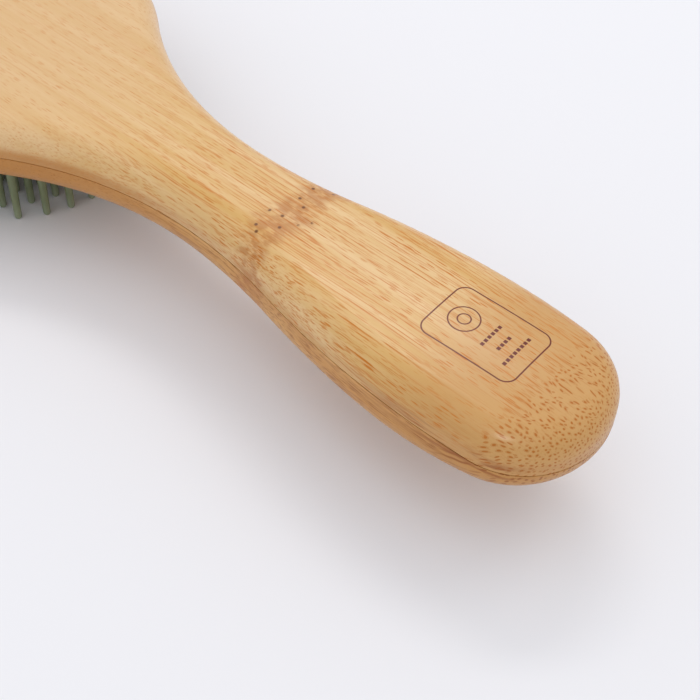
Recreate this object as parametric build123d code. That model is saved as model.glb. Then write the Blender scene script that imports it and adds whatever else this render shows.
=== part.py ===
from build123d import *

# Paddle hair brush: two bamboo boards glued back to front, a domed rubber air cushion held by its bead
# in a groove of the front board, and columns of pins set through the cushion.
#
# The brush stands on its pin tips with its back up. X runs along the brush with the butt of the handle at
# +X and the head at -X, Y runs across it, and Z = 0 is the floor that the pin tips stand on. Outlines are
# drawn in (u, w): u is the distance from the butt and w the distance from the centre plane. Heights
# inside the boards are given from the glue seam between them.

import os
from math import cos, degrees, hypot, radians, sin, sqrt

# ---------------------------------------------------------------- driving dimensions, in millimetres
LENGTH = 245.0
SEAM_HEIGHT = 25.0

# The outline of the boards, as tangent arcs.
HANDLE_HALF_WIDTH = 18.7
HANDLE_WIDEST_AT = 29.0
HANDLE_SIDE_RADIUS = 190.0
BUTT_RADIUS = 20.0
BUTT_CORNER_RADIUS = 16.4
NECK_HALF_WIDTH = 11.7
NECK_AT = 93.5
THROAT_RADIUS = 86.0
HEAD_HALF_WIDTH = 42.0
HEAD_WIDEST_AT = 180.0
HEAD_SIDE_RADIUS = 150.0
HEAD_CORNER_RADIUS = 30.0
HEAD_END_RADIUS = 120.0

# The blank that the outline is cut from, section by section along the brush: u, half width, then the height
# and crown radius of the back and the depth and crown radius of the front, both from the seam.
SECTIONS = [
    (-10.0, 28.0, 6.2, 110.0, 2.4, 100.0),
    (2.0, 28.0, 8.3, 110.0, 5.3, 90.0),
    (14.0, 28.0, 9.4, 110.0, 8.6, 80.0),
    (34.0, 28.0, 9.7, 110.0, 11.2, 80.0),
    (54.0, 28.0, 9.4, 110.0, 10.6, 80.0),
    (76.0, 28.0, 9.1, 120.0, 9.7, 90.0),
    (98.0, 30.0, 8.7, 160.0, 8.4, 160.0),
    (112.0, 33.0, 8.3, 220.0, 8.0, 300.0),
    (126.0, 38.0, 8.0, 300.0, 8.0, 600.0),
    (140.0, 43.0, 7.8, 400.0, 8.2, 1200.0),
    (160.0, 47.0, 7.7, 450.0, 8.3, 2400.0),
    (185.0, 48.0, 7.7, 450.0, 8.3, 3000.0),
    (220.0, 48.0, 7.5, 450.0, 8.3, 3000.0),
    (255.0, 48.0, 7.2, 450.0, 8.3, 3000.0),
]
BACK_ROUND = 6.2
FRONT_ROUND = 6.0

GLUE_THICKNESS = 0.2
GLUE_INSET = 0.15

# The pocket for the cushion, its retaining groove, and the small hole that lets the cushion breathe.
RIM_WIDTH = 8.5
POCKET_CAP_AT = 165.5
POCKET_CAP_RADIUS = 32.0
POCKET_CHEEK_RADIUS = 120.0
POCKET_FLOOR = 2.4
GROOVE_DEPTH = 1.4
GROOVE_TOP = 3.6
GROOVE_BOTTOM = 5.6

CUSHION_WALL = 1.8
CUSHION_CROWN = 10.6
CUSHION_GAP = 0.05
CUSHION_EDGE_ROUND = 2.2
DOME_RADIUS = 1000.0
DOME_AT = 182.0
VENT_RADIUS = 0.9
VENT_AT = 140.0

PIN_PITCH_ALONG = 5.4
PIN_PITCH_ACROSS = 5.3
PIN_COLUMNS = 12
PIN_MARGIN = 3.8
PIN_SEARCH_STEP = 0.1
PIN_ROOT_RADIUS = 1.05
PIN_TIP_RADIUS = 0.85
PIN_HEAD_RADIUS = 1.7
PIN_HEAD_THICKNESS = 0.9
PIN_HOLE_GAP = 0.05


# ---------------------------------------------------------------- outlines made of tangent arcs
# An arc is (centre, radius, end point, bend). Each starts where the one before it ends, and bend is 1
# where the outline bulges outward there and -1 where it is hollow.
def toward(a, b, distance):
    """The point that far from a, on the line from a to b."""
    share = distance / hypot(b[0] - a[0], b[1] - a[1])
    return a[0] + (b[0] - a[0]) * share, a[1] + (b[1] - a[1]) * share


def third_centre(a, from_a, b, from_b):
    """The point at those distances from a and b, on the right-hand side going from a to b."""
    gap = hypot(b[0] - a[0], b[1] - a[1])
    along = (from_a**2 - from_b**2 + gap**2) / (2 * gap)
    off = sqrt(from_a**2 - along**2)
    ahead = ((b[0] - a[0]) / gap, (b[1] - a[1]) / gap)
    return a[0] + along * ahead[0] + off * ahead[1], a[1] + along * ahead[1] - off * ahead[0]


def board_arcs():
    """One side of the boards' outline, from the butt to the middle of the head's end."""
    side = (HANDLE_WIDEST_AT, HANDLE_HALF_WIDTH - HANDLE_SIDE_RADIUS)
    butt = (BUTT_RADIUS, 0.0)
    heel_from_butt = BUTT_RADIUS - BUTT_CORNER_RADIUS
    heel_from_side = HANDLE_SIDE_RADIUS - BUTT_CORNER_RADIUS
    heel = third_centre(butt, heel_from_butt, side, heel_from_side)
    # The hollow of the neck is tangent to the handle's side and is narrowest at NECK_AT.
    run = NECK_AT - HANDLE_WIDEST_AT
    drop = NECK_HALF_WIDTH - side[1]
    neck_radius = (HANDLE_SIDE_RADIUS**2 - run**2 - drop**2) / (2 * (drop - HANDLE_SIDE_RADIUS))
    neck = (NECK_AT, NECK_HALF_WIDTH + neck_radius)
    throat = (NECK_AT, NECK_HALF_WIDTH + THROAT_RADIUS)
    # The shoulder is tangent to the throat and reaches the head's full width at HEAD_WIDEST_AT.
    run = HEAD_WIDEST_AT - NECK_AT
    rise = throat[1] - HEAD_HALF_WIDTH
    shoulder_radius = (run**2 + rise**2 - THROAT_RADIUS**2) / (2 * (THROAT_RADIUS - rise))
    shoulder = (HEAD_WIDEST_AT, HEAD_HALF_WIDTH - shoulder_radius)
    flank = (HEAD_WIDEST_AT, HEAD_HALF_WIDTH - HEAD_SIDE_RADIUS)
    end = (LENGTH - HEAD_END_RADIUS, 0.0)
    corner_from_flank = HEAD_SIDE_RADIUS - HEAD_CORNER_RADIUS
    corner_from_end = HEAD_END_RADIUS - HEAD_CORNER_RADIUS
    corner = third_centre(flank, corner_from_flank, end, corner_from_end)
    return [
        (butt, BUTT_RADIUS, toward(butt, heel, BUTT_RADIUS), 1),
        (heel, BUTT_CORNER_RADIUS, toward(side, heel, HANDLE_SIDE_RADIUS), 1),
        (side, HANDLE_SIDE_RADIUS, toward(side, neck, HANDLE_SIDE_RADIUS), 1),
        (neck, neck_radius, (NECK_AT, NECK_HALF_WIDTH), -1),
        (throat, THROAT_RADIUS, toward(throat, shoulder, THROAT_RADIUS), -1),
        (shoulder, shoulder_radius, (HEAD_WIDEST_AT, HEAD_HALF_WIDTH), 1),
        (flank, HEAD_SIDE_RADIUS, toward(flank, corner, HEAD_SIDE_RADIUS), 1),
        (corner, HEAD_CORNER_RADIUS, toward(end, corner, HEAD_END_RADIUS), 1),
        (end, HEAD_END_RADIUS, (LENGTH, 0.0), 1),
    ]


def pocket_arcs():
    """One side of the pocket's outline: a round cap toward the handle, then a line inside the head's edge."""
    head = inset_arcs(board_arcs()[5:], RIM_WIDTH)
    shoulder, shoulder_radius = head[0][:2]
    cap = (POCKET_CAP_AT, 0.0)
    cheek_from_cap = POCKET_CHEEK_RADIUS - POCKET_CAP_RADIUS
    cheek = third_centre(cap, cheek_from_cap, shoulder, POCKET_CHEEK_RADIUS - shoulder_radius)
    if shoulder_radius > POCKET_CHEEK_RADIUS:
        raise ValueError("the pocket's cheek has to be flatter than the shoulder")
    return [
        (cap, POCKET_CAP_RADIUS, toward(cheek, cap, POCKET_CHEEK_RADIUS), 1),
        (cheek, POCKET_CHEEK_RADIUS, toward(cheek, shoulder, POCKET_CHEEK_RADIUS), 1),
    ] + head


def inset_arcs(arcs, inset):
    """The same outline, moved inward by a distance."""
    moved = []
    for centre, radius, end, bend in arcs:
        smaller = radius - bend * inset
        moved.append((centre, smaller, toward(centre, end, smaller), bend))
    return moved


def outline_face(arcs, inset=0.0):
    """The face inside an outline and its mirror image, at Z = 0."""
    arcs = inset_arcs(arcs, inset)
    centre, radius = arcs[0][:2]
    here = (centre[0] - radius, 0.0)
    edges = []
    for centre, radius, there, _ in arcs:
        halfway = ((here[0] + there[0]) / 2, (here[1] + there[1]) / 2)
        points = [here, toward(centre, halfway, radius), there]
        edges.append(ThreePointArc(*[(LENGTH / 2 - u, w) for u, w in points]))
        here = there
    return make_face(edges + [edge.mirror(Plane.XZ) for edge in edges])


def half_width(arcs, u):
    """Half the width of an outline at u, or nothing outside it."""
    if u <= arcs[0][0][0] - arcs[0][1]:
        return 0.0
    for centre, radius, end, bend in arcs:
        if u <= end[0]:
            return centre[1] + bend * sqrt(radius**2 - (u - centre[0]) ** 2)
    return 0.0


def slab(face, low, high):
    """A face extruded between two heights above the seam."""
    return Pos(0, 0, SEAM_HEIGHT + low) * extrude(face, amount=high - low)


# ---------------------------------------------------------------- the wooden boards
def crown_section(u, half, back, back_radius, front, front_radius):
    """A cross-section of the blank, crowned on the back and on the front."""
    back_edge = back - back_radius + sqrt(back_radius**2 - half**2)
    front_edge = front_radius - front - sqrt(front_radius**2 - half**2)
    corners = [(half, back_edge), (half, front_edge), (-half, front_edge), (-half, back_edge)]
    edges = [
        ThreePointArc(corners[3], (0, back), corners[0]),
        Line(corners[0], corners[1]),
        ThreePointArc(corners[1], (0, -front), corners[2]),
        Line(corners[2], corners[3]),
    ]
    across = Plane(origin=(LENGTH / 2 - u, 0, SEAM_HEIGHT), x_dir=(0, 1, 0), z_dir=(1, 0, 0))
    return across * make_face(edges)


def blank():
    """Both boards as one piece: the outline cut from the crowned blank, with its edges rounded over."""
    crowned = loft([crown_section(*row) for row in SECTIONS])
    reach = 2 * (BACK_ROUND + FRONT_ROUND)
    body = (slab(outline_face(board_arcs()), -reach, reach) & crowned).solids()[0]
    back_edges = [e for e in body.edges() if min(v.Z for v in e.vertices()) > SEAM_HEIGHT + 1]
    body = fillet(back_edges, BACK_ROUND)
    front_edges = [e for e in body.edges() if max(v.Z for v in e.vertices()) < SEAM_HEIGHT - FRONT_ROUND]
    return fillet(front_edges, FRONT_ROUND)


def board_half(body, low, high):
    """What the body holds between two heights above the seam."""
    room = Pos(0, 0, SEAM_HEIGHT + (low + high) / 2) * Box(2 * LENGTH, LENGTH, high - low)
    return (body & room).solids()[0]


def back_board(body):
    return board_half(body, GLUE_THICKNESS / 2, LENGTH / 4)


def glue_seam():
    return slab(outline_face(board_arcs(), GLUE_INSET), -GLUE_THICKNESS / 2, GLUE_THICKNESS / 2)


def front_board(body):
    """The lower board, with the pocket routed into its face and the groove undercut round the pocket."""
    board = board_half(body, -LENGTH / 4, -GLUE_THICKNESS / 2)
    pocket = slab(outline_face(pocket_arcs()), -LENGTH / 8, -POCKET_FLOOR)
    groove = slab(outline_face(pocket_arcs(), -GROOVE_DEPTH), -GROOVE_BOTTOM, -GROOVE_TOP)
    return (board - pocket - groove).solids()[0]


# ---------------------------------------------------------------- the cushion and its pins
def dome_centre():
    return Vector(LENGTH / 2 - DOME_AT, 0, SEAM_HEIGHT - CUSHION_CROWN + DOME_RADIUS)


def dome(inset):
    """The round underside of the cushion, or a surface that far inside the rubber, as a solid ball.

    The ball is turned so that neither its poles nor its seam line cross the cushion.
    """
    return Pos(*dome_centre()) * Rot(0, -90, 0) * Sphere(DOME_RADIUS - inset)


def cushion(pins):
    """A domed rubber tray, open to the pocket's floor, with a bead that fills the groove."""
    top = -GROOVE_TOP - CUSHION_GAP
    low = -CUSHION_CROWN - CUSHION_WALL
    skin = slab(outline_face(pocket_arcs(), CUSHION_GAP), low, top) & dome(0)
    edge = skin.edges().filter_by(lambda e: e.center().Z < SEAM_HEIGHT - GROOVE_BOTTOM)
    skin = fillet(edge, CUSHION_EDGE_ROUND)
    bead_face = outline_face(pocket_arcs(), CUSHION_GAP - GROOVE_DEPTH)
    bead = slab(bead_face, -GROOVE_BOTTOM + CUSHION_GAP, top)
    wall = CUSHION_WALL + CUSHION_GAP
    hollow = slab(outline_face(pocket_arcs(), wall), low, 0) & dome(CUSHION_WALL)
    rubber = skin + bead - hollow
    vent = Pos(LENGTH / 2 - VENT_AT, 0, SEAM_HEIGHT - CUSHION_CROWN) * Cylinder(VENT_RADIUS, 4 * CUSHION_WALL)
    holes = [pin_hole(x, y) for x, y in pins]
    return (rubber - vent - holes).solids()[0]


def pin_grid():
    """The columns of pins, each a list of (x, y) where a pin leaves the cushion.

    Every column starts at the edge of the field toward the handle, so the rows follow that edge's curve.
    """
    columns = []
    field = inset_arcs(pocket_arcs(), PIN_MARGIN)
    for number in range(PIN_COLUMNS):
        y = (number - (PIN_COLUMNS - 1) / 2) * PIN_PITCH_ACROSS
        u = POCKET_CAP_AT - POCKET_CAP_RADIUS + PIN_MARGIN
        while half_width(field, u) <= abs(y):
            u += PIN_SEARCH_STEP
        column = []
        while half_width(field, u) > abs(y):
            column.append((LENGTH / 2 - u, y))
            u += PIN_PITCH_ALONG
        columns.append(column)
    return columns


def pin_frame(x, y):
    """Where a pin leaves the cushion: the origin is on the dome and Z points out along the pin."""
    centre = dome_centre()
    height = centre.Z - sqrt(DOME_RADIUS**2 - (x - centre.X) ** 2 - (y - centre.Y) ** 2)
    root = Vector(x, y, height)
    return Plane(origin=root, x_dir=(0, 1, 0), z_dir=root - centre)


def pin_hole(x, y):
    reach = 2 * CUSHION_WALL
    return pin_frame(x, y) * Cylinder(PIN_ROOT_RADIUS + PIN_HOLE_GAP, 2 * reach)


def pin(x, y):
    """A tapered pin with a round tip on the floor and a flat head inside the cushion."""
    frame = pin_frame(x, y)
    reach = (frame.origin.Z - PIN_TIP_RADIUS) / abs(frame.z_dir.Z)
    neck = -CUSHION_WALL - CUSHION_GAP
    head = neck - PIN_HEAD_THICKNESS
    # The taper meets the round tip where both have the same direction.
    lean = (PIN_ROOT_RADIUS - PIN_TIP_RADIUS) / reach
    shoulder = (PIN_TIP_RADIUS * cos(lean), reach + PIN_TIP_RADIUS * sin(lean))
    middle = radians(45) + lean / 2
    profile = [
        Line((0, head), (PIN_HEAD_RADIUS, head)),
        Line((PIN_HEAD_RADIUS, head), (PIN_HEAD_RADIUS, neck)),
        Line((PIN_HEAD_RADIUS, neck), (PIN_ROOT_RADIUS, neck)),
        Line((PIN_ROOT_RADIUS, neck), (PIN_ROOT_RADIUS, 0)),
        Line((PIN_ROOT_RADIUS, 0), shoulder),
        ThreePointArc(
            shoulder,
            (PIN_TIP_RADIUS * cos(middle), reach + PIN_TIP_RADIUS * sin(middle)),
            (0, reach + PIN_TIP_RADIUS),
        ),
        Line((0, reach + PIN_TIP_RADIUS), (0, head)),
    ]
    half = Plane.XZ * make_face(profile)
    return frame * revolve(half, Axis.Z)


# ---------------------------------------------------------------- output
def write(name, shape):
    shape.label = name
    export_step(shape, f"parts/{name}.step")


def main():
    os.makedirs("parts", exist_ok=True)
    body = blank()
    columns = pin_grid()
    write("back_board", back_board(body))
    write("glue_seam", glue_seam())
    write("front_board", front_board(body))
    write("cushion", cushion([spot for column in columns for spot in column]))
    for number, column in enumerate(columns, 1):
        write(f"pin_column_{number:02d}", Compound([pin(x, y) for x, y in column]))
    print("pins:", [len(column) for column in columns])


main()
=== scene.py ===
from math import cos, pi, radians, sin

import bmesh
import bpy
from mathutils import Matrix, Vector
from mathutils.bvhtree import BVHTree


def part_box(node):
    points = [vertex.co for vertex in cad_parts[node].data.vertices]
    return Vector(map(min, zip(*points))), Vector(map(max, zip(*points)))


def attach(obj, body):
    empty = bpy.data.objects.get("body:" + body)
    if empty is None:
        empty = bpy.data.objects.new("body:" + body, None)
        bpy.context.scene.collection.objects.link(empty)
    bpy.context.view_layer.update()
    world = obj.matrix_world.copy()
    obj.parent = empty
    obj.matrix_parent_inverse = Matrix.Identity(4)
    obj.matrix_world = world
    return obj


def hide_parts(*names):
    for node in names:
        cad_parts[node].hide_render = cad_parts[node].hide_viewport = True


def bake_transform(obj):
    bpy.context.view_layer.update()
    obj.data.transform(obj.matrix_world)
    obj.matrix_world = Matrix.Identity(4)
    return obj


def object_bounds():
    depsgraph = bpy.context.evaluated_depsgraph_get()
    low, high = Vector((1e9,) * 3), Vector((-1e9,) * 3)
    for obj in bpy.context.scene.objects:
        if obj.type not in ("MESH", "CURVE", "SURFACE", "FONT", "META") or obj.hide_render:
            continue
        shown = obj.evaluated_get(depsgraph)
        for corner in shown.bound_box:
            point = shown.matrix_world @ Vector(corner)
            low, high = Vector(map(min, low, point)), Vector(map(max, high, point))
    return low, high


# The paddle brush stands on its pins with its back up. +X points to the butt of the handle, +Z up.
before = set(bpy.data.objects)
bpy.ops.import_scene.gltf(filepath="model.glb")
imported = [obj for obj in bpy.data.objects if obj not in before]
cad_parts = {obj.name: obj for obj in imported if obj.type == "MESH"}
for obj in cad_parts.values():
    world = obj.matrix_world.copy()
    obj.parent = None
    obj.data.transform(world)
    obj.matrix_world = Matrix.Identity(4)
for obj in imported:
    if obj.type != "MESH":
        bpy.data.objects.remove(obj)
cad_box = [list(corner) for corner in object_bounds()]

MM = 0.001
BUTT_X = cad_box[1][0]
TOP_Z = cad_box[1][2]
SEAM_Z = sum(corner[2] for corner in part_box("glue_seam")) / 2

# The camera, at the viewing angle that the picture was taken from.
VIEW_AZIMUTH = 39.0
VIEW_ELEVATION = 48.9
VIEW_ROLL = 3.5
VIEW_DISTANCE = 271.2 * MM
VIEW_LENS = 73.2
VIEW_FROM_BUTT = 48.3 * MM
VIEW_ASIDE = -13.2 * MM

# Places on the body, as distances from the butt. The label lies a little aside of the middle line
# and is turned by about two degrees.
NODE_FROM_BUTT = 75.5 * MM
LABEL_FROM_BUTT = 27.7 * MM
LABEL_ASIDE = 0.8 * MM
LABEL_TURN = -1.9

# How far the fibres wander sideways, and how far apart the cut bundles on the butt are.
FIBRE_WANDER = 1.6 * MM
DOT_SPACING = 0.95 * MM

# The pad and its pins. Depths are from the glue seam.
PAD_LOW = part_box("cushion")[0][2]
PAD_MIDDLE = BUTT_X - 182.0 * MM
PAD_SIDE_DEPTH = 6.3 * MM
PAD_WALL = 1.8 * MM
DOME_RADIUS = 1.0
EDGE_ROLL = 3.0 * MM
VENT_X = BUTT_X - 140.0 * MM
PIN_ROOT = 1.05 * MM
PIN_TIP = 0.85 * MM
PIN_HEAD = 1.7 * MM


# ---------------------------------------------------------------- node trees
class Tree:
    """A small helper that adds and links shader nodes."""

    def __init__(self, name):
        self.material = bpy.data.materials.new(name)
        self.material.use_nodes = True
        self.nodes = self.material.node_tree.nodes
        self.links = self.material.node_tree.links
        self.nodes.clear()

    def add(self, kind, inputs=None, **settings):
        node = self.nodes.new(kind)
        for key, value in settings.items():
            setattr(node, key, value)
        for key, value in (inputs or {}).items():
            self.feed(node.inputs[key], value)
        return node

    def feed(self, socket, value):
        if isinstance(value, bpy.types.NodeSocket):
            self.links.new(value, socket)
        else:
            socket.default_value = value

    def math(self, operation, a, b=0.0, c=0.0):
        return self.add("ShaderNodeMath", {0: a, 1: b, 2: c}, operation=operation).outputs[0]

    def object_point(self):
        return self.add("ShaderNodeTexCoord").outputs["Object"]

    def parts(self, vector):
        return self.add("ShaderNodeSeparateXYZ", {0: vector}).outputs

    def joined(self, x, y, z):
        return self.add("ShaderNodeCombineXYZ", {0: x, 1: y, 2: z}).outputs[0]

    def scaled(self, vector, factors):
        node = self.add("ShaderNodeVectorMath", {0: vector, 1: factors}, operation="MULTIPLY")
        return node.outputs[0]

    def moved(self, vector, offset):
        node = self.add("ShaderNodeVectorMath", {0: vector, 1: offset}, operation="ADD")
        return node.outputs[0]

    def noise(self, vector, detail=2.0, roughness=0.5):
        inputs = {"Vector": vector, "Scale": 1.0, "Detail": detail, "Roughness": roughness}
        return self.add("ShaderNodeTexNoise", inputs).outputs["Fac"]

    def cells(self, vector, randomness=1.0, dimensions="3D"):
        """(distance to the nearest of many scattered points, a number from 0 to 1 for that point)."""
        inputs = {"Vector": vector, "Scale": 1.0, "Randomness": randomness}
        node = self.add("ShaderNodeTexVoronoi", inputs, voronoi_dimensions=dimensions)
        return node.outputs["Distance"], self.parts(node.outputs["Color"])[0]

    def ramp(self, value, low, high, to_low=0.0, to_high=1.0):
        """value from low to high, mapped smoothly to to_low to to_high."""
        inputs = {"Value": value, "From Min": low, "From Max": high, "To Min": to_low, "To Max": to_high}
        return self.add("ShaderNodeMapRange", inputs, interpolation_type="SMOOTHSTEP").outputs[0]

    def mix(self, factor, a, b):
        node = self.add("ShaderNodeMix", data_type="RGBA", clamp_factor=True)
        self.feed(node.inputs["Factor"], factor)
        self.feed(node.inputs["A"], a)
        self.feed(node.inputs["B"], b)
        return node.outputs["Result"]

    def bump(self, height, distance, strength=1.0, normal=None):
        inputs = {"Height": height, "Distance": distance, "Strength": strength}
        if normal is not None:
            inputs["Normal"] = normal
        return self.add("ShaderNodeBump", inputs).outputs[0]

    def surface(self, **inputs):
        named = {key.replace("_", " "): value for key, value in inputs.items()}
        shader = self.add("ShaderNodeBsdfPrincipled", named)
        self.add("ShaderNodeOutputMaterial", {"Surface": shader.outputs[0]})
        return self.material


def rgb(red, green, blue):
    """A colour given as 0 to 255 on screen, as the linear colour that Blender works in."""
    linear = []
    for value in (red, green, blue):
        share = value / 255
        linear.append(share / 12.92 if share <= 0.04045 else ((share + 0.055) / 1.055) ** 2.4)
    return (*linear, 1.0)


# ---------------------------------------------------------------- bamboo
# pale and deep are the ground's two tones and fibre is the cut bundles' colour. far is what the ground
# turns to toward the head, on the back a whiter tone that is painted sheen and on the front a darker one
# that is painted shade; near is what it turns to toward the butt.
BACK_TONES = {
    "pale": rgb(228, 192, 138),
    "deep": rgb(214, 170, 100),
    "fibre": rgb(198, 112, 0),
    "far": rgb(220, 182, 134),
    "near": rgb(200, 150, 88),
}
FRONT_TONES = {
    "pale": rgb(222, 170, 98),
    "deep": rgb(204, 146, 74),
    "fibre": rgb(150, 82, 10),
    "far": rgb(182, 122, 54),
    "near": rgb(196, 142, 74),
}
# Painted shade on the sides that turn down away from the light.
PAINTED_EDGE_SHADE = rgb(186, 126, 58)
BUTT_FIBRE = rgb(156, 86, 6)
SKIN_BROWN = rgb(152, 82, 10)
NODE_BROWN = rgb(174, 100, 28)
PORE_BROWN = rgb(100, 54, 10)
BURNT = rgb(104, 28, 0)


def fibre_point(tree, point):
    """The point in the grain: the fibres run along X and wander a little sideways."""
    x, y, z = tree.parts(point)[:3]
    slow = tree.scaled(point, (18.0, 60.0, 60.0))
    wander_y = tree.math("MULTIPLY_ADD", tree.noise(slow, detail=1.0), FIBRE_WANDER, y)
    shifted = tree.moved(slow, (7.3, 1.9, 4.1))
    wander_z = tree.math("MULTIPLY_ADD", tree.noise(shifted, detail=1.0), FIBRE_WANDER, z)
    return tree.joined(x, wander_y, wander_z)


class Wood(Tree):
    """The nodes of a bamboo material, with where in the brush the shaded point lies."""

    def __init__(self, name):
        super().__init__(name)
        self.point = self.object_point()
        self.grain = fibre_point(self, self.point)
        x, y, self.z = self.parts(self.point)[:3]
        self.from_butt = self.math("SUBTRACT", BUTT_X, x)
        depth = self.math("SUBTRACT", TOP_Z, self.z)
        to_end = self.math("MULTIPLY_ADD", depth, -0.7, self.from_butt)
        self.end_grain = self.ramp(to_end, 17 * MM, 8 * MM)


def dashes(wood, grain, length, width, low=0.0):
    """Short fibre bundles cut open along the surface: dashes, or dots where the surface crosses the grain.

    length and width are the cell that each dash has to itself. low is how strong the faintest dash is.
    """
    point = wood.scaled(grain, (1 / length, 1 / width, 1 / width))
    away, chance = wood.cells(point, 0.9)
    strength = wood.ramp(chance, 0.0, 0.8, low, 1.0)
    return wood.math("MULTIPLY", wood.ramp(away, 0.30, 0.16), strength)


def end_dots(wood, spacing):
    """Bundles cut straight across, as they show on the butt: dots, some of them ringed.

    They lie closest together under the back, as bundles do under the skin of a culm.
    """
    x, y, z = wood.parts(wood.grain)[:3]
    waved = wood.noise(wood.joined(wood.math("MULTIPLY", x, 110.0), wood.math("MULTIPLY", y, 300.0), 0.0))
    depth = wood.math("MULTIPLY_ADD", waved, 4 * MM, wood.math("SUBTRACT", TOP_Z, z))
    deep = wood.math("POWER", wood.math("DIVIDE", depth, 10 * MM), 0.65)
    rows = wood.math("MULTIPLY_ADD", deep, 14 * MM / spacing, wood.math("MULTIPLY", x, 0.35 / spacing))
    point = wood.joined(wood.math("DIVIDE", y, spacing), rows, 0.0)
    away, chance = wood.cells(point, 0.75, "2D")
    core = wood.math("MULTIPLY", wood.ramp(away, 0.28, 0.16), wood.ramp(chance, 0.0, 0.5, 0.55, 1.0))
    ring = wood.ramp(wood.math("ABSOLUTE", wood.math("SUBTRACT", away, 0.31)), 0.07, 0.02)
    ring = wood.math("MULTIPLY", ring, wood.ramp(chance, 0.4, 0.8, 0.0, 0.45))
    return wood.math("MAXIMUM", core, ring)


def ground_colour(wood, lines, tones):
    """The wood under the marks: broad bands along the grain, and fine lines that thin out to the head."""
    bands = wood.noise(wood.scaled(wood.grain, (7.0, 260.0, 200.0)), detail=3.0)
    on_handle = wood.ramp(wood.from_butt, 150 * MM, 60 * MM, 0.35, 1.0)
    line_strength = wood.math("MULTIPLY", wood.ramp(lines, 0.50, 0.66, 0.0, 0.80), on_handle)
    ground = wood.mix(wood.ramp(bands, 0.3, 0.7), tones["pale"], tones["deep"])
    ground = wood.mix(line_strength, ground, tones["fibre"])
    ground = wood.mix(wood.math("MULTIPLY", wood.end_grain, 0.55), ground, tones["deep"])
    # Toward the head: painted sheen on the back, painted shade on the front.
    ground = wood.mix(wood.ramp(wood.from_butt, 100 * MM, 150 * MM, 0.0, 0.6), ground, tones["far"])
    ground = wood.mix(wood.ramp(wood.from_butt, 42 * MM, 22 * MM, 0.0, 0.8), ground, tones["near"])

    # Painted shade: the lowest part of the back and the whole front, whose sides turn down away from the
    # light, are darkened toward a brown, most of all at the head.
    edge = wood.ramp(wood.z, SEAM_Z + 3.6 * MM, SEAM_Z + 1.4 * MM)
    edge = wood.math("MULTIPLY", edge, wood.ramp(wood.from_butt, 84 * MM, 126 * MM, 0.22, 0.8))
    return wood.mix(edge, ground, PAINTED_EDGE_SHADE)


def cut_bundles(wood):
    """Dashes, thick in some stretches and thin in others, which turn to dots on the butt."""
    grain = wood.grain
    patches = wood.noise(wood.scaled(grain, (24.0, 110.0, 110.0)), detail=2.0)
    patches = wood.ramp(patches, 0.36, 0.56, 0.45, 1.0)
    patches = wood.math("MULTIPLY", patches, wood.ramp(wood.from_butt, 130 * MM, 78 * MM, 0.30, 1.0))
    coarse = dashes(wood, grain, 6.5 * MM, 0.62 * MM, 0.35)
    short = dashes(wood, wood.moved(grain, (0.3, 0.07, 0.05)), 4.6 * MM, 0.52 * MM, 0.2)
    coarse = wood.math("MULTIPLY", wood.math("MAXIMUM", coarse, short), patches)
    fine = dashes(wood, wood.moved(grain, (0.1, 0.03, 0.02)), 4.2 * MM, 0.40 * MM)
    long = dashes(wood, wood.moved(grain, (0.2, 0.05, 0.01)), 36.0 * MM, 0.66 * MM)
    near_label = wood.ramp(wood.from_butt, 78 * MM, 44 * MM, 0.25, 1.0)
    marks = wood.math("MAXIMUM", coarse, wood.math("MULTIPLY", fine, 0.55))
    marks = wood.math("MAXIMUM", marks, wood.math("MULTIPLY", long, near_label))
    marks = wood.math("MULTIPLY", marks, wood.ramp(wood.end_grain, 0.0, 1.0, 1.0, 0.25))
    dots = wood.math("MULTIPLY", end_dots(wood, DOT_SPACING), wood.ramp(wood.end_grain, 0.1, 0.7))
    return wood.math("MAXIMUM", marks, dots)


def culm_skin(wood):
    """How much of the culm's brown skin shows: ragged patches beside the glue line, toward the butt."""
    from_seam = wood.math("ABSOLUTE", wood.math("SUBTRACT", wood.z, SEAM_Z))
    ragged = wood.noise(wood.scaled(wood.grain, (70.0, 300.0, 700.0)), detail=4.0, roughness=0.62)
    skin = wood.math("MULTIPLY", wood.ramp(from_seam, 4.6 * MM, 0.8 * MM), wood.ramp(ragged, 0.47, 0.60))
    skin = wood.math("MULTIPLY", skin, wood.ramp(wood.from_butt, 50 * MM, 18 * MM, 0.08, 0.80))
    return wood.math("MULTIPLY", skin, wood.ramp(wood.from_butt, 4 * MM, 11 * MM, 0.12, 1.0))


def node_marks(wood):
    """The node: (a wavering, mottled stripe round the neck, the small pores in its middle).

    The pores' cells are flat, so each pore runs straight down through the wood.
    """
    ragged = wood.noise(wood.scaled(wood.point, (90.0, 420.0, 420.0)), detail=3.0)
    ragged = wood.math("MULTIPLY_ADD", ragged, 9.0 * MM, -4.5 * MM)
    away = wood.math("SUBTRACT", wood.math("ADD", wood.from_butt, ragged), NODE_FROM_BUTT)
    away = wood.math("ABSOLUTE", away)
    mottle = wood.noise(wood.scaled(wood.grain, (380.0, 620.0, 620.0)), detail=3.0)
    band = wood.ramp(away, 6.2 * MM, 1.6 * MM)
    band = wood.math("MULTIPLY", band, wood.ramp(mottle, 0.34, 0.60, 0.25, 1.0))
    pores = wood.cells(wood.scaled(wood.point, (270.0, 270.0, 270.0)), 1.0, "2D")[0]
    pores = wood.ramp(pores, 0.14, 0.05)
    return band, wood.math("MULTIPLY", pores, wood.ramp(away, 4.0 * MM, 3.2 * MM))


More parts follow.
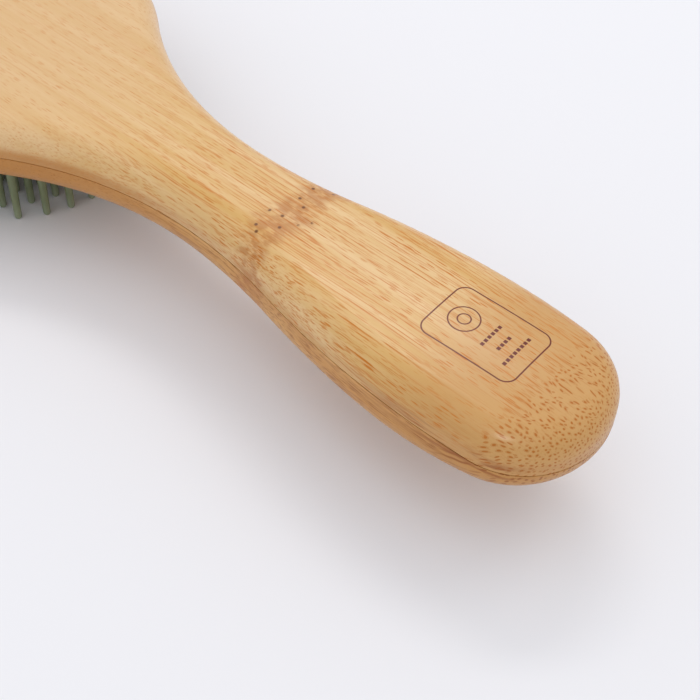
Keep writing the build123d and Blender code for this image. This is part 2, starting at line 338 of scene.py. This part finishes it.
def engraving(wood):
    """The burnt mark on the handle's back: a rounded frame with two rings and three rows of ticks in it."""
    x, y, z = wood.parts(wood.point)[:3]
    turn = radians(LABEL_TURN)
    along = wood.math("SUBTRACT", x, BUTT_X - LABEL_FROM_BUTT)
    aside = wood.math("SUBTRACT", y, LABEL_ASIDE)
    p = wood.math("MULTIPLY_ADD", along, cos(turn), wood.math("MULTIPLY", aside, -sin(turn)))
    q = wood.math("MULTIPLY_ADD", along, sin(turn), wood.math("MULTIPLY", aside, cos(turn)))

    def rounded_box(centre, half, radius):
        """Distance outside a box with rounded corners."""
        beyond = []
        for here, middle, reach in zip((p, q), centre, half):
            away = wood.math("ABSOLUTE", wood.math("SUBTRACT", here, middle))
            beyond.append(wood.math("MAXIMUM", wood.math("SUBTRACT", away, reach - radius), 0.0))
        out = wood.joined(beyond[0], beyond[1], 0.0)
        length = wood.add("ShaderNodeVectorMath", {0: out}, operation="LENGTH").outputs["Value"]
        return wood.math("SUBTRACT", length, radius)

    def line(distance, width):
        return wood.ramp(wood.math("ABSOLUTE", distance), width, width * 0.4)

    marks = [line(rounded_box((0.0, 0.0), (10.6 * MM, 7.45 * MM), 2.4 * MM), 0.21 * MM)]
    for radius in (3.1 * MM, 1.3 * MM):
        marks.append(line(rounded_box((-5.0 * MM, 0.0), (radius, radius), radius), 0.20 * MM))
    broken = wood.math("PINGPONG", q, 0.55 * MM)
    broken = wood.ramp(broken, 0.12 * MM, 0.22 * MM)
    for number, reach in enumerate((3.3, 2.2, 4.4)):
        centre = ((1.2 + 2.9 * number) * MM, 0.0)
        bar = wood.ramp(rounded_box(centre, (0.36 * MM, reach * MM), 0.2 * MM), 0.06 * MM, -0.04 * MM)
        marks.append(wood.math("MULTIPLY", bar, broken))
    mark = marks[0]
    for extra in marks[1:]:
        mark = wood.math("MAXIMUM", mark, extra)
    above = wood.ramp(z, SEAM_Z + 5 * MM, SEAM_Z + 6 * MM)
    return wood.math("MULTIPLY", mark, above)


def bamboo(name, tones, marked):
    """Varnished bamboo in the given tones, with the burnt mark or without it."""
    wood = Wood(name)
    lines = wood.noise(wood.scaled(wood.grain, (16.0, 2700.0, 2700.0)), detail=3.0, roughness=0.62)
    marks = cut_bundles(wood)
    band, pores = node_marks(wood)
    cut = wood.mix(wood.math("MULTIPLY", wood.end_grain, 0.6), tones["fibre"], BUTT_FIBRE)
    colour = ground_colour(wood, lines, tones)
    colour = wood.mix(wood.math("MULTIPLY", marks, 0.92), colour, cut)
    colour = wood.mix(culm_skin(wood), colour, SKIN_BROWN)
    colour = wood.mix(wood.math("MULTIPLY", band, 0.62), colour, NODE_BROWN)
    colour = wood.mix(wood.math("MULTIPLY", pores, 0.9), colour, PORE_BROWN)

    height = wood.math("MULTIPLY_ADD", marks, -0.35, wood.math("MULTIPLY", lines, 0.6))
    height = wood.math("MULTIPLY_ADD", pores, -0.4, height)
    normal = wood.bump(height, 0.05 * MM, 0.35)
    handled = wood.noise(wood.scaled(wood.point, (40.0, 60.0, 60.0)), detail=3.0)
    rough = wood.math("MULTIPLY_ADD", marks, 0.10, wood.ramp(handled, 0.3, 0.7, 0.34, 0.44))
    if marked:
        mark = engraving(wood)
        colour = wood.mix(mark, colour, BURNT)
        normal = wood.bump(wood.math("MULTIPLY", mark, -1.0), 0.05 * MM, 0.5, normal)
    return wood.surface(
        Base_Color=colour,
        Roughness=rough,
        Normal=normal,
        Specular_IOR_Level=0.2,
        Coat_Weight=0.36,
        Coat_Roughness=0.24,
        Coat_IOR=1.5,
    )


def glue():
    """Glue line, uneven along its length: dark beside the handle, and as pale as the wood at both ends."""
    tree = Tree("glue_line")
    point = tree.object_point()
    from_butt = tree.math("SUBTRACT", BUTT_X, tree.parts(point)[0])
    streaks = tree.noise(tree.scaled(point, (160.0, 160.0, 900.0)), detail=3.0)
    colour = tree.mix(tree.ramp(streaks, 0.35, 0.7), rgb(72, 38, 14), rgb(122, 74, 34))
    colour = tree.mix(tree.ramp(from_butt, 78 * MM, 112 * MM, 0.0, 0.92), colour, rgb(196, 140, 78))
    colour = tree.mix(tree.ramp(from_butt, 9 * MM, 2 * MM, 0.0, 0.75), colour, rgb(176, 112, 50))
    normal = tree.bump(streaks, 0.03 * MM, 0.5)
    return tree.surface(Base_Color=colour, Roughness=0.6, Normal=normal)


# ---------------------------------------------------------------- rubber and nylon
def rubber():
    """Matt sage-green rubber with a fine moulded grain and a faint bloom, its green darker than the pins'
    partly as painted shade among the pins.
    """
    tree = Tree("sage_rubber")
    point = tree.object_point()
    bloom = tree.noise(tree.scaled(point, (60.0, 60.0, 60.0)), detail=4.0)
    grain = tree.noise(tree.scaled(point, (4200.0, 4200.0, 4200.0)), detail=2.0)
    # The darker green is partly painted shade among the pins.
    colour = tree.mix(tree.ramp(bloom, 0.35, 0.68), rgb(74, 84, 62), rgb(88, 98, 76))
    normal = tree.bump(grain, 0.02 * MM, 0.5)
    rough = tree.ramp(bloom, 0.3, 0.7, 0.62, 0.74)
    return tree.surface(Base_Color=colour, Roughness=rough, Normal=normal, Specular_IOR_Level=0.35)


def nylon():
    """Smooth sage-green nylon, slightly translucent, a little paler toward the tips."""
    tree = Tree("sage_nylon")
    point = tree.object_point()
    z = tree.parts(point)[2]
    speck = tree.noise(tree.scaled(point, (700.0, 700.0, 220.0)), detail=3.0)
    colour = tree.mix(tree.ramp(speck, 0.35, 0.7), rgb(110, 118, 84), rgb(122, 130, 96))
    colour = tree.mix(tree.ramp(z, 6 * MM, 0.0, 0.0, 0.35), colour, rgb(160, 170, 144))
    flow = tree.noise(tree.scaled(point, (2600.0, 2600.0, 160.0)), detail=2.0)
    normal = tree.bump(flow, 0.02 * MM, 0.35)
    return tree.surface(
        Base_Color=colour,
        Roughness=0.38,
        Normal=normal,
        Subsurface_Weight=0.12,
        Subsurface_Radius=(0.6 * MM, 0.8 * MM, 0.5 * MM),
        Subsurface_Scale=1.0,
    )


# ---------------------------------------------------------------- pieces
def paint(obj, material):
    obj.data.materials.clear()
    obj.data.materials.append(material)


def smooth(obj):
    for polygon in obj.data.polygons:
        polygon.use_smooth = True


def dress_boards():
    paint(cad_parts["back_board"], bamboo("bamboo_back", BACK_TONES, True))
    paint(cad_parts["front_board"], bamboo("bamboo_front", FRONT_TONES, False))
    paint(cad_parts["glue_seam"], glue())


# ---------------------------------------------------------------- the cushion and its pins
def new_piece(name, vertices, faces, material, slot):
    """A smooth-shaded mesh piece, with its faces all turned outward."""
    mesh = bpy.data.meshes.new(name)
    build = bmesh.new()
    made = [build.verts.new(vertex) for vertex in vertices]
    for face in faces:
        build.faces.new([made[index] for index in face])
    bmesh.ops.recalc_face_normals(build, faces=build.faces)
    build.to_mesh(mesh)
    build.free()
    obj = bpy.data.objects.new(name, mesh)
    bpy.context.collection.objects.link(obj)
    paint(obj, material)
    smooth(obj)
    return obj


def skin_rings(rings):
    """Vertices and faces of a skin over rings of points. A ring may be a single point."""
    vertices = [point for ring in rings for point in ring]
    starts = []
    count = 0
    for ring in rings:
        starts.append(count)
        count += len(ring)
    faces = []
    for number in range(len(rings) - 1):
        here, there = rings[number], rings[number + 1]
        around = max(len(here), len(there))
        for step in range(around):
            following = (step + 1) % around
            corners = [
                starts[number] + step % len(here),
                starts[number] + following % len(here),
                starts[number + 1] + following % len(there),
                starts[number + 1] + step % len(there),
            ]
            faces.append(list(dict.fromkeys(corners)))
    return vertices, faces


def turned(profile, place, axis, around):
    """A lathed skin: profile is (radius, height) pairs, with height measured from place along axis."""
    side = axis.orthogonal().normalized()
    across = axis.cross(side)
    rings = []
    for radius, height in profile:
        middle = place + height * axis
        if radius == 0:
            rings.append([middle])
            continue
        turns = [2 * pi * step / around for step in range(around)]
        rings.append([middle + radius * (cos(turn) * side + sin(turn) * across) for turn in turns])
    return skin_rings(rings)


def joined(skins):
    """Several skins as the vertices and faces of one mesh."""
    vertices = []
    faces = []
    for more, their_faces in skins:
        start = len(vertices)
        vertices += more
        faces += [[start + index for index in face] for face in their_faces]
    return vertices, faces


def dome_height(x, y):
    """Height of the cushion's underside, a shallow dome with its lowest point at the pad's middle."""
    return PAD_LOW + ((x - PAD_MIDDLE) ** 2 + y**2) / (2 * DOME_RADIUS)


def pad_outline(around):
    """Points round the side of the CAD cushion, found by looking at it inward from every direction."""
    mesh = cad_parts["cushion"].data
    shape = BVHTree.FromPolygons([v.co for v in mesh.vertices], [p.vertices for p in mesh.polygons])
    points = []
    for step in range(around):
        turn = 2 * pi * step / around
        outward = Vector((cos(turn), sin(turn), 0.0))
        centre = Vector((PAD_MIDDLE, 0.0, SEAM_Z - PAD_SIDE_DEPTH))
        points.append(shape.ray_cast(centre + 0.2 * outward, -outward)[0])
    return points


def pad_ring(outline, inset, lift, share=1.0):
    """The outline moved in by inset, then drawn in to share of its size, and laid lift over the dome."""
    ring = []
    for point in outline:
        out = Vector((point.x - PAD_MIDDLE, point.y, 0.0))
        out = out.normalized() * (out.length - inset) * share
        x, y = PAD_MIDDLE + out.x, out.y
        ring.append(Vector((x, y, dome_height(x, y) + lift)))
    return ring


def cushion():
    """The domed rubber pad: a rolled edge, a side that goes up into the groove, and an open inside."""
    outline = pad_outline(240)
    pad_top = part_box("cushion")[1][2]
    shares = (0.15, 0.35, 0.55, 0.75, 0.90)
    rings = [[Vector((PAD_MIDDLE, 0.0, PAD_LOW))]]
    rings += [pad_ring(outline, EDGE_ROLL, 0.0, share) for share in shares]
    for step in range(9):
        turn = step * pi / 16
        rings.append(pad_ring(outline, EDGE_ROLL * (1 - sin(turn)), EDGE_ROLL * (1 - cos(turn))))
    rings.append([Vector((point.x, point.y, pad_top)) for point in rings[-1]])
    inner = pad_ring(outline, PAD_WALL, EDGE_ROLL)
    rings.append([Vector((point.x, point.y, pad_top)) for point in inner])
    for step in range(8, -1, -2):
        turn = step * pi / 16
        roll = EDGE_ROLL - PAD_WALL
        inset, lift = PAD_WALL + roll * (1 - sin(turn)), PAD_WALL + roll * (1 - cos(turn))
        rings.append(pad_ring(outline, inset, lift))
    rings += [pad_ring(outline, EDGE_ROLL, PAD_WALL, share) for share in reversed(shares)]
    rings.append([Vector((PAD_MIDDLE, 0.0, PAD_LOW + PAD_WALL))])
    return skin_rings(rings)


def pin_axes(name):
    """(tip, direction to the root) of every pin in a CAD column."""
    points = sorted((vertex.co.copy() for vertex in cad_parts[name].data.vertices), key=lambda p: p.x)
    groups = [[points[0]]]
    for point in points[1:]:
        if point.x - groups[-1][-1].x > 1.2 * MM:
            groups.append([])
        groups[-1].append(point)
    axes = []
    for group in groups:
        low = min(point.z for point in group)
        high = max(point.z for point in group)
        tip = middle_of([point for point in group if point.z < low + 0.01 * MM])
        root = middle_of([point for point in group if point.z > high - 0.25 * MM])
        axes.append((tip, (root - tip).normalized()))
    return axes


def middle_of(points):
    return sum(points, Vector()) / len(points)


def root_of(tip, axis):
    """Where a pin's axis meets the cushion's underside."""
    return tip + axis * (dome_height(tip.x, tip.y) - tip.z) / axis.z


def pin_skin(tip, axis):
    """One pin: a head inside the pad, a flared root, a slow taper and a polished round tip."""
    reach = (root_of(tip, axis) - tip).length
    inside = reach + PAD_WALL
    profile = [(0.0, 0.0)]
    for step in range(1, 7):
        turn = step * pi / 12
        profile.append((PIN_TIP * sin(turn), PIN_TIP * (1 - cos(turn))))
    profile += [
        (PIN_ROOT * 0.90, reach * 0.55),
        (PIN_ROOT, reach - 1.6 * MM),
        (PIN_ROOT * 1.04, reach - 0.8 * MM),
        (PIN_ROOT * 1.14, reach - 0.2 * MM),
        (PIN_ROOT, reach + 0.2 * MM),
        (PIN_ROOT, inside),
        (PIN_HEAD, inside + 0.05 * MM),
        (PIN_HEAD, inside + 0.8 * MM),
        (0.9 * PIN_HEAD, inside + 0.9 * MM),
        (0.0, inside + 0.9 * MM),
    ]
    return turned(profile, tip, axis, 20)


def collar_skin(place, axis, bore, width, rise):
    """A raised collar moulded on the pad: a low rounded ring that stands out from it."""
    profile = [(bore, 0.25 * MM), (bore, -0.7 * rise)]
    for step in range(5):
        turn = pi * step / 4
        reach = bore + width * (0.30 + 0.22 * (1 - cos(turn)) / 2)
        profile.append((reach, -rise * (0.75 + 0.25 * sin(turn))))
    profile += [
        (bore + 0.78 * width, -0.35 * rise),
        (bore + width, -0.04 * rise),
        (bore + width, 0.25 * MM),
    ]
    return turned_ring(profile, place, axis, 24)


def turned_ring(profile, place, axis, around):
    """A lathed ring: the profile closes on itself round an open middle."""
    vertices, faces = turned(profile, place, axis, around)
    last = len(vertices) - around
    for step in range(around):
        following = (step + 1) % around
        faces.append([last + step, last + following, following, step])
    return vertices, faces


def dress_pad():
    """The pad, its moulded collars and the pins, which stand in for the plain CAD ones."""
    material = rubber()
    pad = new_piece("cushion_pad", *cushion(), material, "cushion_rubber")
    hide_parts("cushion")
    columns = sorted(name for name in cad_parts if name.startswith("pin_column"))
    pins = nylon()
    collars = []
    for name in columns:
        axes = pin_axes(name)
        piece = new_piece(name + "_pins", *joined([pin_skin(*pin) for pin in axes]), pins, "pin_nylon")
        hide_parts(name)
        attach(piece, name + "_body")
        collars += [collar_skin(root_of(*pin), pin[1], PIN_ROOT, 1.1 * MM, 0.35 * MM) for pin in axes]
    vent = Vector((VENT_X, 0.0, dome_height(VENT_X, 0.0)))
    collars.append(collar_skin(vent, Vector((0.0, 0.0, 1.0)), 0.8 * MM, 1.2 * MM, 0.45 * MM))
    moulded = new_piece("cushion_collars", *joined(collars), material, "cushion_rubber")
    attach(moulded, "cushion")
    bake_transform(pad)


# ---------------------------------------------------------------- floor, light and camera
def floor():
    """A plain pale sheet under the brush."""
    size = 3.0
    mesh = bpy.data.meshes.new("floor")
    corners = [(-size, -size, 0), (size, -size, 0), (size, size, 0), (-size, size, 0)]
    mesh.from_pydata(corners, [], [(0, 1, 2, 3)])
    obj = bpy.data.objects.new("floor", mesh)
    bpy.context.collection.objects.link(obj)
    tree = Tree("pale_floor")
    faint = tree.noise(tree.scaled(tree.object_point(), (2.0, 2.0, 2.0)), detail=1.0)
    colour = tree.mix(faint, rgb(236, 236, 238), rgb(240, 240, 242))
    paint(obj, tree.surface(Base_Color=colour, Roughness=0.85, Specular_IOR_Level=0.2))


def area_light(name, place, aim, size, power, colour):
    light = bpy.data.lights.new(name, "AREA")
    light.shape = "RECTANGLE"
    light.size, light.size_y = size
    light.energy = power
    light.color = colour
    obj = bpy.data.objects.new(name, light)
    bpy.context.collection.objects.link(obj)
    obj.location = place
    obj.rotation_euler = (Vector(aim) - Vector(place)).to_track_quat("-Z", "Y").to_euler()
    return obj


def lights():
    """A pale studio, brighter overhead, with a softbox and a window behind the brush and a small glint."""
    world = bpy.data.worlds.new("studio")
    bpy.context.scene.world = world
    world.use_nodes = True
    nodes, links = world.node_tree.nodes, world.node_tree.links
    background = nodes["Background"]
    background.inputs["Color"].default_value = (0.95, 0.96, 1.0, 1.0)
    direction = nodes.new("ShaderNodeSeparateXYZ")
    links.new(nodes.new("ShaderNodeTexCoord").outputs["Generated"], direction.inputs[0])
    overhead = nodes.new("ShaderNodeMapRange")
    overhead.inputs["To Min"].default_value = 0.60
    overhead.inputs["To Max"].default_value = 1.11
    links.new(direction.outputs["Z"], overhead.inputs["Value"])
    links.new(overhead.outputs[0], background.inputs["Strength"])
    bpy.context.scene.view_settings.view_transform = "Standard"
    target = (BUTT_X - VIEW_FROM_BUTT, 0.0, SEAM_Z)
    streak = area_light("softbox", (-0.36, 0.46, 0.86), target, (0.55, 0.16), 1.5, (1.0, 0.97, 0.96))
    streak.data.shape = "ELLIPSE"
    window = area_light("window", (0.27, 0.70, 1.06), target, (0.50, 0.40), 0.9, (1.0, 0.985, 0.96))
    window.visible_glossy = False
    glint = area_light("reflector", (0.32, -0.60, 0.77), target, (0.16, 0.16), 1.6, (1.0, 0.98, 0.97))
    glint.visible_diffuse = False


def camera():
    """The camera looks down on the handle from the butt's side, turned a little about its own axis."""
    azimuth, elevation = radians(VIEW_AZIMUTH), radians(VIEW_ELEVATION)
    back = Vector((sin(azimuth) * cos(elevation), -cos(azimuth) * cos(elevation), sin(elevation)))
    right = Vector((cos(azimuth), sin(azimuth), 0.0))
    up = back.cross(right)
    roll = radians(VIEW_ROLL)
    turned_right = cos(roll) * right + sin(roll) * up
    turned_up = cos(roll) * up - sin(roll) * right
    target = Vector((BUTT_X - VIEW_FROM_BUTT, VIEW_ASIDE, SEAM_Z))
    data = bpy.data.cameras.new("camera")
    data.lens = VIEW_LENS
    data.sensor_width = 36.0
    data.clip_start = 0.01
    obj = bpy.data.objects.new("camera", data)
    bpy.context.collection.objects.link(obj)
    turn = Matrix((turned_right, turned_up, back)).transposed().to_4x4()
    obj.matrix_world = Matrix.Translation(target + VIEW_DISTANCE * back) @ turn
    bpy.context.scene.camera = obj


dress_boards()
dress_pad()
floor()
lights()
camera()
